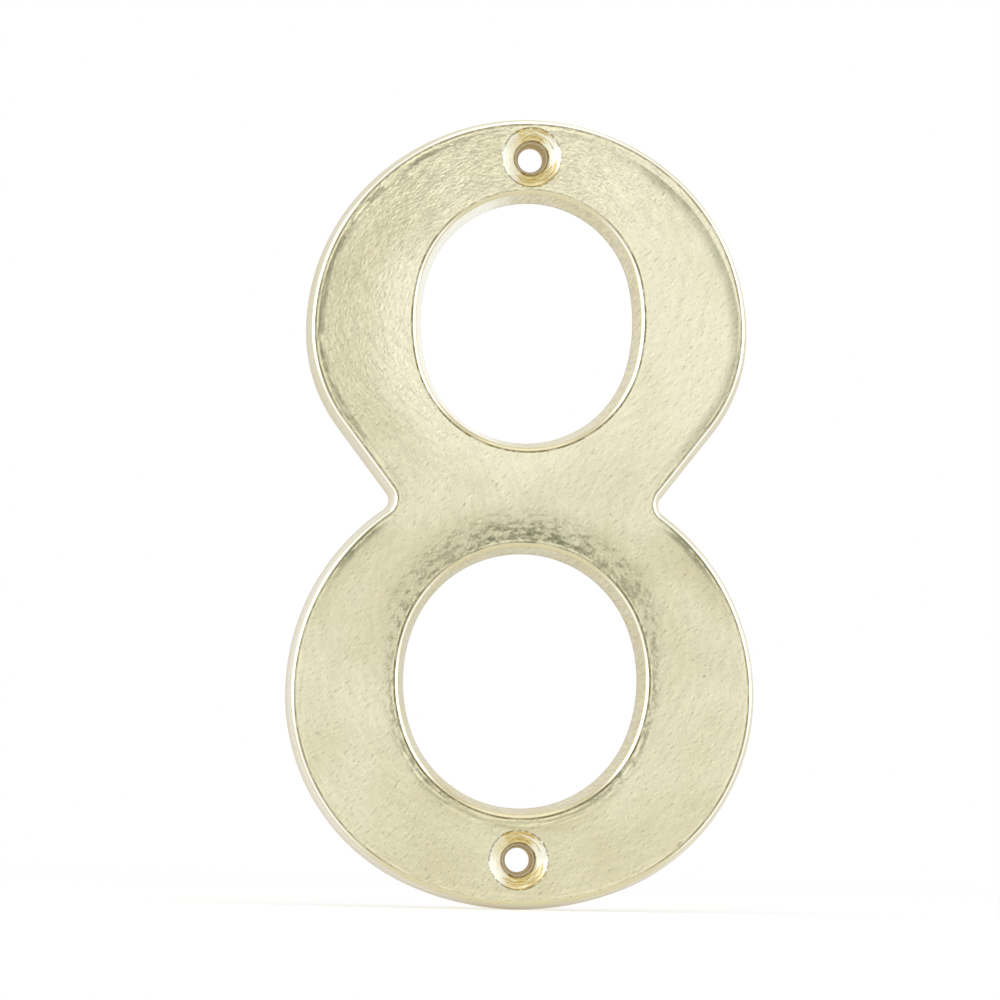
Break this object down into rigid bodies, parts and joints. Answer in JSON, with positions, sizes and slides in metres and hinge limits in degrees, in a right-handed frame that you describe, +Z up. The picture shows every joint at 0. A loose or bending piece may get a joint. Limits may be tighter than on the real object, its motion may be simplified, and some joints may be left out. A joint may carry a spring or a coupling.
{
  "type": "brass door number",
  "caption": "Cast brass door number, a figure 8 with a polished face, drafted edges, a hollow back and countersunk screw holes above and below.",
  "frame": {"origin": "on the back plane, halfway between the two screw holes", "axes": "+Z up the figure, -Y out of its polished face, +Y into the door, +X to the viewer's right"},
  "size_m": [0.0754, 0.009, 0.1272],
  "materials": {
    "brass": "pale polished cast brass under clear lacquer, linished edges, as-cast hollow back"
  },
  "bodies": {
    "root": {"door_number": "brass"}
  },
  "joints": []
}
